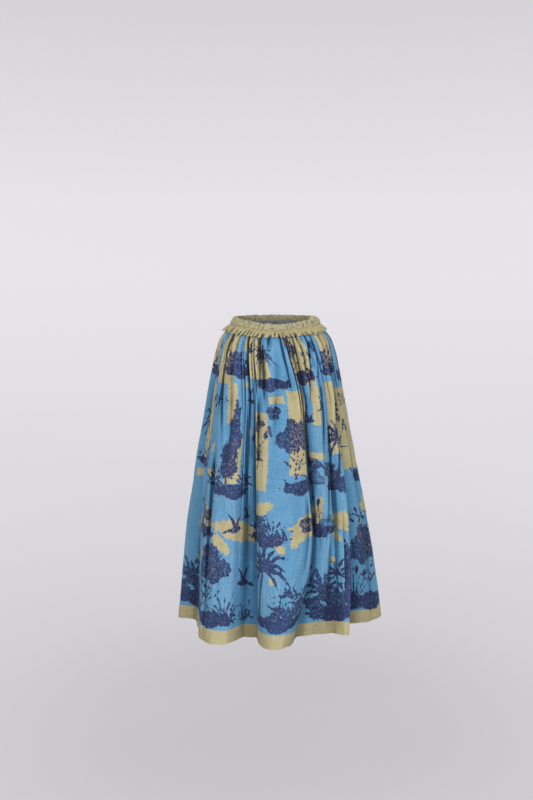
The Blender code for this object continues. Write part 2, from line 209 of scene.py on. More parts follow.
FRILL_COLUMNS_PER_WAVE = 16
FRILL_ROWS = 9
FRILL_THICKNESS = 0.0007
FRILL_OVERHANG = 0.5
FRILL_EXTRA_DEPTH = 0.0014
FRILL_EXTRA_LENGTH = 0.0024
FRILL_SCALLOP = 0.0013
FRILL_CRUMPLES = ((0.0011, 230, 5, 36), (0.0006, 420, 7, 37))
FRILL_PHASE_SLIPS = ((1.7, 50, 35), (0.9, 130, 38))
FRILL_DEPTH_SHARES = ((0.95, 64, 31),)
FRILL_GAP_SHARES = ((0.9, 90, 40),)
# The frill turns up a little at one side: its angle, how far, and a half width in degrees
FRILL_TURN_UP = (84, 0.0036, 30)
FRILL_LEANS = ((1.1, 70, 34),)
FRILL_LOOP_ROUNDNESS = 0.8
# The frill's tone at its top and its edge, and how much darker the gaps between its loops are, a painted
# shade
FRILL_TONES = (0.5, 0.9)
FRILL_GAP_SHADE = 2.2
FRILL_EDGE_WAVES = ((0.0018, 58, 32), (0.0014, 2 * FRILL_WAVES, 33), (0.001, 300, 39))

# The print: a generic repeat of trees, plants and birds over khaki shapes, on the flat cloth. A motif
# is drawn about its foot, in hundredths of its height.

REPEATS_ROUND = 2
FAR = -0.03
NEXT_TO_NOTHING = 1e-9
THINNEST = 0.0017
NARROWING_SHARE = 0.4
# How strongly a bend of the cloth paints a paler highlight on its ridges and shade in its creases, and
# where a bend counts as a valley
BEND_LIGHT_AND_SHADE = 6
VALLEY_BEND = 0.02
BEND_REACHES = (4, 9, 16)
PRINT_SMOOTH_ROWS = 24
# How far a motif reaches below and above its foot
MOTIF_REACH = (-120, 140)
MOTIF_UNITS = (MM, MM, MM / 100)
# In a fan every other leaf is shorter, and each droops past a share of its length to a thin tip
SHORT_LEAF = 0.8
LEAF_BEND = 0.58
LEAF_TIP = 0.2
# In a clump the tufts follow a spiral, by so many radians each, and tilt up to so many degrees
SPIRAL_TURN = 2.4
TUFT_TILT = 40
PATCH_MARGIN = 0.01


def fan(x, y, count, first, last, length, droop, width):
    """Tapered strokes in two parts that spread from a point, from one angle to another."""
    strokes = []
    for number, angle in enumerate(np.radians(np.linspace(first, last, count))):
        reach = length * (1 if number % 2 else SHORT_LEAF)
        across, up = math.cos(angle), math.sin(angle)
        bend = (x + LEAF_BEND * reach * across, y + LEAF_BEND * reach * up)
        end = (x + reach * across, y + reach * (up - droop * abs(across)))
        strokes += [(x, y, *bend, width, width), (*bend, *end, width, LEAF_TIP * width)]
    return strokes


def clump(x, y, half_width, half_height, count, size):
    """Round tufts of leaves, set in a spiral inside an ellipse."""
    blobs = []
    for number in range(count):
        turn = SPIRAL_TURN * number + 0.6
        away = math.sqrt((number + 0.3) / count) * (1 - 0.6 * size)
        part = size * (0.85 + 0.3 * math.sin(5.1 * number))
        at = (x + half_width * away * math.cos(turn), y + half_height * away * math.sin(turn))
        blobs.append((*at, half_width * part, half_height * part, TUFT_TILT * math.sin(turn)))
    return blobs


# Each motif has its reach to either side, how much of it is filled, how soft its edge is in
# millimetres, its strokes (from x and y to x and y, a half width at each end) and its blobs (x, y,
# half width, half height, tilt)

BROAD_TREE = (
    70, 0.78, 4.2,
    [(0, -2, 3, 22, 3, 2.2), (3, 22, -2, 45, 2.2, 1.4), *fan(3, 20, 5, 35, 145, 34, 0, 1.4)],
    clump(0, 70, 33, 29, 13, 0.4),
)
CYPRESS = (
    40, 0.86, 4.2,
    [(0, -2, 0, 20, 2, 1.6)],
    [(0, 24, 12, 12, 0), (-3, 40, 13, 14, 10), (3, 56, 12, 14, -10), (-1, 71, 10, 13, 6),
     (1, 85, 7, 12, 0), (0, 96, 3.5, 8, 0)],
)
FROND_TREE = (
    80, 0.86, 2,
    [(-5, -2, 0, 28, 3, 2.2), (0, 28, 6, 62, 2.2, 1.6), *fan(6, 63, 11, -42, 222, 40, 0.4, 2.6)],
    [(6, 63, 8, 7, 0)],
)
FERN = (
    90, 0.8, 2.2,
    fan(0, 0, 9, 14, 166, 100, 0.22, 4.2),
    [(0, 5, 20, 12, 0)],
)
BUSH = (
    100, 0.78, 3,
    fan(0, 15, 5, 20, 160, 95, 0.1, 3),
    clump(0, 42, 66, 46, 9, 0.42),
)
THICKET = (
    90, 0.8, 2.4,
    [*fan(-22, 34, 9, 5, 175, 46, 0.25, 3), *fan(26, 22, 7, 0, 180, 44, 0.2, 2.6),
     *fan(10, 60, 9, -20, 200, 38, 0.3, 2.4), (10, 0, 10, 60, 2.2, 1.6)],
    [*clump(-20, 22, 40, 22, 6, 0.42), *clump(30, 16, 34, 18, 5, 0.42)],
)
GROUND = (
    270, 0.88, 2.2,
    [(-200, 6, 210, 2, 10, 8), *fan(-165, 10, 3, 60, 120, 66, 0, 5),
     *fan(165, 10, 3, 60, 120, 66, 0, 5)],
    [(-90, 0, 95, 40, 4), (10, 6, 90, 52, 0), (105, 0, 85, 36, -5), (-20, -34, 80, 26, 3)],
)
ROCKS = (
    130, 0.45, 1,
    [(-90, -5, 95, -8, 9, 7)],
    [(-38, 28, 42, 34, 12), (16, 42, 40, 48, -10), (62, 20, 34, 26, -8)],
)
REEDS = (
    90, 0.95, 1,
    fan(0, 0, 7, 48, 132, 100, 0.1, 2.4),
    [(-36, 80, 6, 14, 24), (-12, 94, 6, 14, 8), (16, 86, 6, 13, -10), (42, 72, 6, 13, -28),
     (0, 3, 26, 9, 0)],
)
FLYING_BIRD = (
    100, 0.88, 0.6,
    [(34, 2, 54, 6, 4.5, 1), (-30, 0, -66, -12, 8, 5), (0, 4, -16, 46, 11, 9), (-16, 46, -46, 76, 9, 2),
     (8, 4, 16, 42, 10, 8), (16, 42, 42, 72, 8, 2)],
    [(0, 0, 36, 14, 4), (34, 5, 11, 10, 0)],
)
WADING_BIRD = (
    90, 0.74, 0.8,
    [(-4, 36, -8, 0, 2.4, 2), (5, 36, 6, 0, 2.4, 2), (20, 52, 30, 74, 6.5, 4), (30, 74, 20, 90, 4, 3.6),
     (20, 93, 48, 88, 3, 1), (-24, 44, -48, 30, 8, 3)],
    [(-2, 46, 28, 16, 14), (20, 93, 7, 6, 0)],
)
FLOWER_SPRAY = (
    80, 0.7, 0.8,
    [(0, 0, 6, 34, 1.8, 1.6), (6, 34, 0, 70, 1.6, 1.4), (5, 28, -20, 52, 1.6, 1.2),
     (6, 40, 24, 60, 1.6, 1.2), *fan(3, 18, 4, 0, 180, 30, 0, 2)],
    [*clump(0, 83, 20, 18, 7, 0.34), *clump(-24, 60, 15, 13, 5, 0.36), *clump(29, 68, 15, 13, 5, 0.36)],
)
VINE = (
    150, 0.9, 1,
    [(-100, 0, -60, 22, 3, 3.4), (-60, 22, -20, 4, 3.4, 3.4), (-20, 4, 20, 24, 3.4, 3.2),
     (20, 24, 60, 8, 3.2, 3), (60, 8, 98, 26, 3, 2)],
    [(-82, 24, 6, 14, -30), (-70, -2, 6, 14, 40), (-44, 34, 6, 14, 20), (-34, -6, 6, 14, -35),
     (-4, 30, 6, 14, -25), (8, -2, 6, 13, 35), (36, 36, 6, 14, 25), (44, -2, 6, 13, -30),
     (76, 34, 5, 13, -20)],
)
BUTTERFLY = (
    110, 0.74, 0.5,
    [(0, -40, 0, 34, 8, 7), *fan(0, 30, 2, 70, 110, 40, 0, 4)],
    [(-36, 26, 34, 26, 30), (36, 26, 34, 26, -30), (-26, -22, 22, 20, -30), (26, -22, 22, 20, 30)],
)

# Each motif's places in the repeat, in millimetres: across, down and its height, which is negative
# where it is mirrored
LAYOUT = (
    (GROUND, (80, 150, 36), (300, 135, -40), (515, 168, 34), (690, 152, 38), (900, 140, -42),
     (1060, 162, 36), (85, 404, 36), (310, 462, -36), (600, 446, 36), (850, 455, -40), (1075, 446, 44),
     (200, 578, 34), (480, 585, -36), (735, 572, 36), (75, 800, 48), (262, 806, 40), (535, 803, -42),
     (790, 806, 48), (1000, 808, -48)),
    (FERN, (30, 143, 60), (350, 130, -70), (940, 133, 70), (135, 396, 66), (350, 452, 82),
     (240, 452, 80), (645, 440, 80), (515, 582, 70), (305, 800, 75), (385, 818, 60), (905, 824, 50)),
    (REEDS, (120, 143, 75), (740, 146, 70), (165, 572, 80), (700, 565, -85), (195, 800, 100),
     (945, 802, -100)),
    (BUSH, (260, 128, 56), (860, 132, 60), (800, 446, -70), (455, 580, 70)),
    (WADING_BIRD, (305, 125, 75), (720, 432, -92), (220, 570, 85)),
    (FROND_TREE, (500, 168, 125), (80, 402, -180), (845, 450, 200), (480, 792, 215)),
    (FLYING_BIRD, (425, 80, 42), (375, 218, -50), (775, 240, 46), (715, 275, 36), (330, 565, 56),
     (385, 535, 40), (880, 575, -56), (375, 715, -60)),
    (BROAD_TREE, (655, 150, -120), (570, 440, 185), (250, 800, -200), (1005, 800, 225)),
    (BUTTERFLY, (800, 72, 32), (505, 248, 38), (615, 550, 40)),
    (CYPRESS, (1050, 155, 125), (285, 455, 235), (1090, 440, 210), (845, 808, 195)),
    (VINE, (190, 232, 60), (1020, 238, 60), (1010, 565, 75)),
    (FLOWER_SPRAY, (440, 400, 150), (965, 385, -140), (670, 800, 150)),
    (ROCKS, (722, 442, 38), (760, 566, 40)),
    (THICKET, (70, 795, 155), (580, 800, -120), (780, 802, 170)),
)

# The khaki patches: across, down, half width, half height, tilt in degrees, how torn the edge is
PATCH_UNITS = (MM, MM, MM, MM, 1, MM)
HEM_TORN = 0.0006
BLOCKS = (
    (35, 95, 50, 60, -1, 1.4), (215, 108, 54, 66, 1, 1.6), (450, 96, 70, 58, 0, 1.4),
    (690, 106, 68, 66, 1, 1.6), (905, 96, 56, 60, -1, 1.4), (1075, 110, 46, 58, 1, 1.4),
    (605, 300, 52, 115, -1, 3.2), (452, 350, 30, 105, 1, 3.2), (115, 285, 34, 105, 0, 3.2),
    (845, 270, 28, 100, 1, 3.2), (1000, 310, 50, 115, -1, 3.2), (265, 225, 20, 55, 2, 2.4),
    (300, 380, 24, 60, -1, 3.2), (745, 230, 18, 55, 0, 2.4), (520, 210, 26, 10, 3, 2.2),
    (215, 420, 30, 9, -3, 2), (740, 370, 30, 10, 2, 2.2), (50, 440, 30, 10, 4, 2),
    (910, 440, 32, 10, -3, 2.2), (350, 172, 22, 9, 2, 2),
)
CLOUDS = (
    (730, 520, 14, 44, -14, 6), (215, 540, 13, 36, 16, 6), (535, 600, 10, 30, 24, 6),
    (990, 600, 14, 34, -18, 6), (350, 570, 86, 28, -12, 7.5), (285, 600, 36, 15, -46, 6.5),
    (640, 545, 80, 30, 14, 7.5), (590, 575, 34, 16, 50, 6.5), (470, 505, 40, 18, 22, 6.5),
    (860, 560, 68, 28, -14, 7.5), (800, 588, 30, 13, -50, 6.5), (1075, 530, 64, 28, 10, 7.5),
    (110, 570, 48, 22, 18, 7.5), (440, 655, 14, 9, 0, 5), (670, 650, 14, 10, 30, 5),
    (270, 665, 12, 12, 0, 5), (200, 640, 10, 14, 20, 5), (520, 690, 10, 12, 0, 4.5),
    (780, 660, 12, 10, 0, 5), (925, 690, 10, 12, 0, 4.5), (70, 680, 12, 12, 0, 5),
    (1035, 650, 10, 14, 0, 5), (200, 350, 8, 12, 0, 4.5), (370, 300, 8, 12, 0, 4.5),
    (800, 430, 9, 12, 0, 4.5),
)


def monotone_curve(x, knots, values):
    """A smooth curve through the values at the knots that never overshoots them."""
    knots = np.asarray(knots, dtype=float)
    values = np.asarray(values, dtype=float)
    spread = (-1,) + (1,) * (values.ndim - 1)
    step = np.diff(knots).reshape(spread)
    slope = np.diff(values, axis=0) / step
    product = slope[:-1] * slope[1:]
    total = np.where(product > 0, slope[:-1] + slope[1:], 1.0)
    inner = np.where(product > 0, 2 * product / total, 0.0)
    tangent = np.concatenate([slope[:1], inner, slope[-1:]])
    x = np.clip(np.atleast_1d(x), knots[0], knots[-1])
    index = np.clip(np.searchsorted(knots, x, side="right") - 1, 0, len(knots) - 2)
    width = step[index]
    t = (x - knots[index]).reshape(spread) / width
    start = values[index] * (1 + 2 * t) * (1 - t) ** 2
    leave = tangent[index] * width * t * (1 - t) ** 2
    end = values[index + 1] * t ** 2 * (3 - 2 * t)
    arrive = tangent[index + 1] * width * t ** 2 * (t - 1)
    return start + leave + end + arrive


def uneven(order, waves):
    """A sum of small waves, the same each time, that varies a repeat by its order."""
    return sum(size * np.sin(rate * order + start) for size, rate, start in waves)


def smooth_step(low, high, x):
    """0 below low, 1 above high, and a smooth ramp between."""
    t = np.clip((x - low) / (high - low), 0.0, 1.0)
    return t * t * (3 - 2 * t)


def between(first, last, share):
    """The value at a share of the way from the first to the last."""
    return first + (last - first) * share


def hump(away):
    """A smooth bump: 1 at 0, and next to nothing past 2."""
    return np.exp(-away ** 2)


def short_way(value, around=1):
    """The shorter way round a ring, back or on."""
    return (value + around / 2) % around - around / 2


def crumple(around, down, cells_around, cells_down, seed):
    """Smooth uneven waves from -1 to 1, closed all round. Both positions run from 0 to 1."""
    table = np.random.default_rng(seed).uniform(-1, 1, (cells_down + 2, cells_around))
    a = np.mod(around, 1.0) * cells_around
    b = np.clip(down, 0.0, 1.0) * cells_down
    i = np.floor(a).astype(int)
    j = np.minimum(np.floor(b).astype(int), cells_down)
    s = smooth_step(0, 1, a - i)
    t = smooth_step(0, 1, b - j)
    left, right = i % cells_around, (i + 1) % cells_around
    upper = table[j, left] * (1 - s) + table[j, right] * s
    lower = table[j + 1, left] * (1 - s) + table[j + 1, right] * s
    return upper * (1 - t) + lower * t


def waves_round(turn, rows):
    """Uneven waves that vary only round the skirt."""
    return sum(size * crumple(turn, np.zeros_like(turn), cells, 1, seed) for size, cells, seed in rows)


def sharp_crumples(turn, down, rows, level):
    """Round bumps with sharp valleys between them, about a level."""
    total = 0.0
    for height, *cells in rows:
        total = total + height * (level - VALLEY_SHARE * np.abs(crumple(turn, down, *cells)))
    return total


def stacked(*parts):
    """Vectors from parts of like shapes."""
    return np.stack(np.broadcast_arrays(*parts), axis=-1)


def way_round(points, reach=1):
    """The way from so many columns before each point to as many after it."""
    return np.roll(points, -reach, axis=1) - np.roll(points, reach, axis=1)


def unit(vectors):
    """The same vectors, one long."""
    return vectors / np.linalg.norm(vectors, axis=-1, keepdims=True)


def place(angle, drop, proud):
    """Points at angles in degrees and drops, standing proud of the mean plan."""
    angle, drop, proud = np.broadcast_arrays(angle, drop, proud)
    table = np.array(SECTIONS, dtype=float)
    plan = monotone_curve(drop.ravel(), table[:, 0], table[:, 1:])
    half_width, half_depth, shift_x, shift_y = plan.T.reshape(4, *drop.shape)
    turn = np.radians(angle)
    side = half_width * np.sin(turn)
    along = -half_depth * np.cos(turn)
    stretch = 1 + proud / np.hypot(side, along)
    front = (0.5 + 0.5 * np.cos(turn)) ** DIP_SHARPNESS
    dip = FRONT_DIP * front * np.exp(-np.maximum(drop, 0) / DIP_FADE)
    return stacked(shift_x + side * stretch, shift_y + along * stretch, -drop - dip)


def fold_stations():
    """Each fold line's place in the flat cloth, its angles and prouds by level, and the hem's length."""
    table = np.array(FRONT_FOLDS + BACK_FOLDS, dtype=float).T
    angles = table[:len(FOLD_LEVELS)]
    prouds = np.pad(table[len(FOLD_LEVELS):] * MM, ((1, 0), (0, 0)))
    hem = place(angles[-1], HEM_DROP, prouds[-1])
    lengths = np.linalg.norm(np.roll(hem, -1, axis=0) - hem, axis=1)
    cloth = np.concatenate([[0.0], np.cumsum(lengths)])
    return cloth[:-1] / cloth[-1], angles, prouds, cloth[-1]


CLOTH, ANGLES, PROUDS, CLOTH_ROUND = fold_stations()
RIGHT_SEAM = CLOTH[len(FRONT_FOLDS) - 1]


def drape(cloth, drop):
    """Angle and proud of the large folds, for cloth positions from 0 to 1 at each drop."""
    wraps = 3
    knots = np.concatenate([CLOTH[-wraps:] - 1, CLOTH, CLOTH[:wraps] + 1])
    at_levels = []
    for values, turn in ((ANGLES, 360.0), (PROUDS, 0.0)):
        ring = np.concatenate([values[:, -wraps:] - turn, values, values[:, :wraps] + turn], axis=1)
        per_level = monotone_curve(cloth, knots, ring.T).T
        at_levels.append(monotone_curve(drop, FOLD_LEVELS, per_level))
    return at_levels


def gather_lines():
    """Cloth position, depth and length of each gather's crease, uneven but the same each time."""
    order = np.arange(2 * GATHERS_PER_PANEL)
    number = order % GATHERS_PER_PANEL
    shift = np.where(number == 0, 0.0, uneven(order, GATHER_SHIFTS))
    in_front = order < GATHERS_PER_PANEL
    start = np.where(in_front, 0.0, RIGHT_SEAM)
    span = np.where(in_front, RIGHT_SEAM, 1.0 - RIGHT_SEAM)
    where = start + span * (number + shift) / GATHERS_PER_PANEL
    depth = GATHER_DEPTH * (GATHER_MEAN_SHARE + uneven(order, GATHER_SHARES))
    length = between(*GATHER_LENGTHS, (0.5 + uneven(order, GATHER_REACHES)) ** 1.5)
    return np.append(where, 1.0), np.append(depth, depth[0]), np.append(length, length[0])


GATHER_AT, GATHER_DEPTHS, GATHER_ENDS = gather_lines()


def gather_phase(cloth):
    """Which gather each cloth position lies in, and how far across it, from 0 to 1."""
    index = np.clip(np.searchsorted(GATHER_AT, cloth, side="right") - 1, 0, len(GATHER_AT) - 2)
    return index, (cloth - GATHER_AT[index]) / (GATHER_AT[index + 1] - GATHER_AT[index])


def gather_proud(cloth, down):
    """How far the gathers move the cloth in or out: round crests and narrow creases."""
    index, phase = gather_phase(cloth)
    rise = between(GATHER_TOP_DEPTH / GATHER_DEPTH, 1, smooth_step(*GATHER_RISE, down))
    sides = []
    for crease in (index, index + 1):
        end = GATHER_ENDS[crease]
        fade = 1 - smooth_step(GATHER_FADE_START * end, end, down)
        sides.append(GATHER_DEPTHS[crease] * rise * fade)
    depth = sides[0] * (1 - phase) + sides[1] * phase
    return depth * (1 - 2 * np.abs(2 * phase - 1) ** CREASE_SHARPNESS)


def valleys(order, away, down, depth, half_width, full, fade_start, ends, mean, waves, most):
    """Narrow valleys by their order, for points so far across from them."""
    share = np.clip(mean + uneven(order, waves), 0, most)
    end = between(*ends, share)
    share = share * (smooth_step(SEAM_DROP, full, down) * (1 - smooth_step(fade_start * end, end, down)))
    return -depth * share * hump(away / half_width)


def valley_proud(cloth, down):
    """The tucks and the gathers' own creases, close under the band."""
    index, phase = gather_phase(cloth)
    proud = valleys(index, phase - (0.5 + uneven(index, TUCK_SHIFTS)), down, **TUCKS)
    for crease, away in ((index, phase), (index + 1, 1 - phase)):
        proud += valleys(crease, away, down, **TOP_CREASES)
    return proud


def crease_proud(cloth, down):
    """The soft creases that are listed one by one."""
    proud = 0.0
    for at, top, low, lean, half_width, height in np.multiply(CREASES, CREASE_UNITS):
        share = np.clip((down - top) / (low - top), 0, 1)
        ends = smooth_step(0, CREASE_RISE, share) * (1 - smooth_step(CREASE_FADE_START, 1, share))
        proud += height * ends * hump(short_way(cloth - at - lean * share) / half_width)
    return proud


def seam_proud(cloth):
    """The side seams' shallow valleys."""
    proud = np.zeros_like(cloth)
    for at in (0.0, RIGHT_SEAM):
        away = np.abs(short_way(cloth - at)) / SEAM_HALF_WIDTH
        proud += SEAM_DIP * (hump(away - SEAM_EDGE) / 2 - hump(away))
    return proud


def outward(points):
    """Unit normals of a closed ring grid of points, rows from top to bottom."""
    return unit(np.cross(np.gradient(points, axis=0), way_round(points)))


def row_drops():
    """Drops of the panels' rows, closer together near the gathers."""
    drops = [SEAM_DROP + PIECE_GAP]
    for end, rows in ROW_BANDS:
        drops.extend(np.linspace(drops[-1], end, rows + 1)[1:])
    return np.array(drops)


def skirt_surface():
    """The whole skirt's outer surface: drops and points in rows."""
    share = np.arange(STEPS_PER_GATHER) / STEPS_PER_GATHER
    cloth = (GATHER_AT[:-1, None] + np.diff(GATHER_AT)[:, None] * share).ravel()
    drops = row_drops()
    angle, proud = drape(cloth, drops)
    down = drops[:, None]
    length_share = (down - SEAM_DROP) / (HEM_DROP - SEAM_DROP)
    fine = crease_proud(cloth, down) + seam_proud(cloth)
    for height, *cells in CRUMPLES:
        fine += height * crumple(cloth, length_share, *cells)
    proud = proud + gather_proud(cloth, down) + valley_proud(cloth, down)
    hem = HEM_TURN * smooth_step(*HEM_STEP, down + HEM_BAND - HEM_DROP)
    hem_wave = uneven(2 * math.pi * cloth, HEM_EDGE_WAVES) * length_share ** HEM_WAVE_FADE
    return drops, place(angle, down + hem_wave, proud + smooth_step(*EASE, down) * fine + hem)


def curvature(points):
    """How far each point stands out of, or lies below, the cloth some columns to either side."""
    out = outward(points)
    total = np.zeros(points.shape[:2])
    for reach in BEND_REACHES:
        middle = (np.roll(points, reach, axis=1) + np.roll(points, -reach, axis=1)) / 2
        span = np.linalg.norm(way_round(points, reach), axis=-1)
        total += np.einsum("ijk,ijk->ij", points - middle, out) / span
    return total / len(BEND_REACHES)


def smooth_down(values, reach):
    """Each row averaged with so many rows above and below it."""
    padded = np.pad(values, ((reach + 1, reach), (0, 0)), mode="edge")
    total = np.cumsum(padded, axis=0)
    return (total[2 * reach + 1:] - total[:-2 * reach - 1]) / (2 * reach + 1)


def flat_cloth(points, bend, first, last, width):
    """The flat cloth's width position of each point from one column to another.

    The print keeps its width on what shows. The cloth that the gathers take up lies mostly in the
    creases, where the surface bends in, and the rest narrows the print a little all over.
    """
    columns = np.arange(first, last + 1) % points.shape[1]
    strip = points[:, columns]
    lengths = np.linalg.norm(np.diff(strip, axis=1), axis=-1)
    total = lengths.sum(axis=1, keepdims=True)
    hidden = np.maximum(width - total, 0)
    valley = np.maximum(-bend[:, columns] - VALLEY_BEND, 0) ** 1.5
    weight = (valley[:, 1:] + valley[:, :-1]) * lengths + NEXT_TO_NOTHING
    weight /= weight.sum(axis=1, keepdims=True)
    even = lengths / total
    steps = lengths + hidden * (NARROWING_SHARE * even + (1 - NARROWING_SHARE) * weight)
    steps /= steps.sum(axis=1, keepdims=True)
    steps = smooth_down(smooth_down(steps, PRINT_SMOOTH_ROWS), PRINT_SMOOTH_ROWS)
    across = np.concatenate([np.zeros((len(strip), 1)), np.cumsum(steps, axis=1)], axis=1)
    return across * width / across[:, -1:]


def stroke_field(x, y, row, thinnest):
    """How far inside a tapered stroke each point lies."""
    x0, y0, x1, y1, w0, w1 = row
    across, along = x1 - x0, y1 - y0
    t = np.clip(((x - x0) * across + (y - y0) * along) / (across ** 2 + along ** 2), 0, 1)
    width = np.maximum(between(w0, w1, t), thinnest)
    return width - np.hypot(x - x0 - across * t, y - y0 - along * t)


def turned(x, y, tilt):
    """Positions as seen from axes at a tilt in degrees."""
    c, s = math.cos(math.radians(tilt)), math.sin(math.radians(tilt))
    return x * c + y * s, y * c - x * s


def round_field(x, y, half_x, half_y):
    """How far inside an ellipse each point lies."""
    return (1 - np.hypot(x / half_x, y / half_y)) * min(half_x, half_y)


def block_field(x, y, half_x, half_y):
    """How far inside a rectangle each point lies."""
    return np.minimum(half_x - np.abs(x), half_y - np.abs(y))


def motif_field(x, y, strokes, blobs, scale):
    """How far inside a motif each point lies, in metres."""
    depth = np.full(x.shape, FAR / scale)
    for row in strokes:
        depth = np.maximum(depth, stroke_field(x, y, row, THINNEST / scale))
    for at_x, at_y, half_x, half_y, tilt in blobs:
        depth = np.maximum(depth, round_field(*turned(x - at_x, y - at_y, tilt), half_x, half_y))
    return depth * scale


def lay(layers, near, depth, styles):
    """Where a shape lies further inside than what is there, its depth and styles take over."""
    wins = depth > layers[0][near]
    where = tuple(n[wins] for n in near)
    for layer, value in zip(layers, (depth[wins], *styles)):
        layer[where] = value


def print_fields(u, v):
    """The print over the flat cloth: ink and khaki as depths inside their edges, and their styles."""
    ink, khaki = np.full((2, *u.shape), FAR)
    tone, feather, torn = np.zeros((3, *u.shape))
    for du in CLOTH_ROUND / REPEATS_ROUND * np.arange(-1, REPEATS_ROUND + 1):
        for (reach, tone_here, soft, strokes, blobs), *places in LAYOUT:
            for at_u, at_v, scale in np.multiply(places, MOTIF_UNITS):
                x, y = (u - du - at_u) / scale, (at_v - v) / abs(scale)
                near = np.nonzero((np.abs(x) < reach) & (y > MOTIF_REACH[0]) & (y < MOTIF_REACH[1]))
                if len(near[0]):
                    depth = motif_field(x[near], y[near], strokes, blobs, abs(scale))
                    lay((ink, tone, feather), near, depth, (tone_here, soft * MM))
        for field, rows in ((block_field, BLOCKS), (round_field, CLOUDS)):
            for at_u, at_v, half_u, half_v, tilt, ragged in np.multiply(rows, PATCH_UNITS):
                x, y = u - du - at_u, at_v - v
                reach = half_u + half_v + PATCH_MARGIN
                near = np.nonzero((np.abs(x) < reach) & (np.abs(y) < reach))
                if len(near[0]):
                    depth = field(*turned(x[near], y[near], tilt), half_u, half_v)
                    lay((khaki, torn), near, depth, (ragged,))
    margin = v - (HEM_DROP - HEM_BAND)
    torn = np.where(margin > khaki, HEM_TORN, torn)
    khaki = np.maximum(khaki, margin)
    return stacked(ink, khaki, tone), stacked(feather, torn, tone)


def grid_faces(numbers):
    """Quads between rows of point numbers, facing out when the rows run down."""
    upper, lower = numbers[:-1], numbers[1:]
    quads = np.stack([upper[:, :-1], lower[:, :-1], lower[:, 1:], upper[:, 1:]], axis=-1)
    return quads.reshape(-1, 4).tolist()


def rim_faces(fine, coarse):
    """Faces that join an edge to another, which may have fewer steps."""
    fine, coarse = fine.tolist(), coarse.tolist()
    ratio = (len(fine) - 1) // (len(coarse) - 1)
    faces = []
    for number in range(len(coarse) - 1):
        part = fine[ratio * number:ratio * (number + 1) + 1]
        faces.append((*part, coarse[number + 1], coarse[number])[::-1])
    return faces


def flipped(faces):
    """The same faces, facing the other way."""
    return [face[::-1] for face in faces]


def numbered(grid, start=0):
    """A number for each point of a grid."""
    return start + np.arange(grid[..., 0].size).reshape(grid.shape[:2])


def grid_numbers(outer, inner):
    """Numbers for the points of an outer grid and, after them, of an inner one."""
    outside = numbered(outer)
    return outside, numbered(inner, outside.size)


def joined(outer, inner):
    """The points or values of an outer and an inner grid in one list."""
    return np.concatenate([outer.reshape(-1, 3), inner.reshape(-1, 3)])


def shell_faces(outside, inside):
    """A shell's faces: the outside with its upper and lower rims, then the inside."""
    rims = flipped(rim_faces(outside[0], inside[0])) + rim_faces(outside[-1], inside[-1])
    return grid_faces(outside) + rims, flipped(grid_faces(inside))


def put(name, data):
    """A new object with this data, in the scene."""
    thing = bpy.data.objects.new(name, data)
    bpy.context.scene.collection.objects.link(thing)
    return thing


def make_mesh(name, points, faces, materials, inner_faces, attributes):
    """A smooth mesh that rides on the part. The last inner_faces faces take the second material."""
    mesh = bpy.data.meshes.new(name)
    mesh.from_pydata(points.tolist(), [], faces)
    for material in materials:
        mesh.materials.append(material)
    if inner_faces:
        slots = np.zeros(len(mesh.polygons), dtype=np.int32)
        slots[-inner_faces:] = 1
        mesh.polygons.foreach_set("material_index", slots)
    for key, values in attributes.items():
        layer = mesh.attributes.new(key, "FLOAT_VECTOR", "POINT")
        layer.data.foreach_set("vector", np.ascontiguousarray(values, dtype=np.float32).ravel())
    mesh.shade_smooth()
    mesh.set_sharp_from_angle(angle=math.radians(SHARP_ANGLE))
    mesh.update()
    piece = put(name, mesh)
    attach(piece, "root")
    return piece


def make_panel(name, node, surface, first, last, materials):
    """One panel as a thin shell: a fine printed outside and a coarser reverse."""
    points, normals, drops, bend = surface
    columns = np.arange(first, last + 1) % points.shape[1]
    edge = unit(way_round(points))
    outer = points[:, columns].copy()
    outer[:, 0] += edge[:, columns[0]] * PIECE_GAP / 2
    outer[:, -1] -= edge[:, columns[-1]] * PIECE_GAP / 2
    inner = outer - CLOTH_THICKNESS * normals[:, columns]
    inner[0, :, 2] = outer[0, :, 2]
    start, end = (0, RIGHT_SEAM) if first == 0 else (RIGHT_SEAM, 1)
    width = (end - start) * CLOTH_ROUND
    u = start * CLOTH_ROUND + flat_cloth(points, bend, first, last, width)
    v = np.broadcast_to(drops[:, None], u.shape)
    # The third cloth value, the cloth's bend, paints a paler highlight on the ridges and shade in the
    # creases
    layers = {"cloth": stacked(u, v, np.clip(BEND_LIGHT_AND_SHADE * bend[:, columns], -1, 1))}
    layers["print_edges"], layers["print_style"] = print_fields(u, v)
    step = INNER_ROW_STEP
    outside, inside = grid_numbers(outer, inner[::step])
    faces, behind = shell_faces(outside, inside)
    faces += rim_faces(outside[:, 0], inside[:, 0]) + flipped(rim_faces(outside[:, -1], inside[:, -1]))
    shell = joined(outer, inner[::step])
    attributes = {key: joined(layer, layer[::step]) for key, layer in layers.items()}
    panel = make_mesh(name, shell, faces + behind, materials, len(behind), attributes)
    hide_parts(node)


def bunch_height(angle):
    """How far the small bunches lift the band's upper edge."""
    return sum(height * hump(short_way(angle - at, 360) / width) for at, height, width in BUNCHES)


def ring_shell(name, node, outer, inner, material, cloth):
    """A closed ring of cloth between an outer and an inner grid with as many columns."""
    outside, inside = (np.append(grid, grid[:, :1], axis=1) for grid in grid_numbers(outer, inner))
    faces, behind = shell_faces(outside, inside)
    attributes = {"cloth": joined(*cloth)}
    ring = make_mesh(name, joined(outer, inner), faces + behind, [material], 0, attributes)
    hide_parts(node)
    return ring


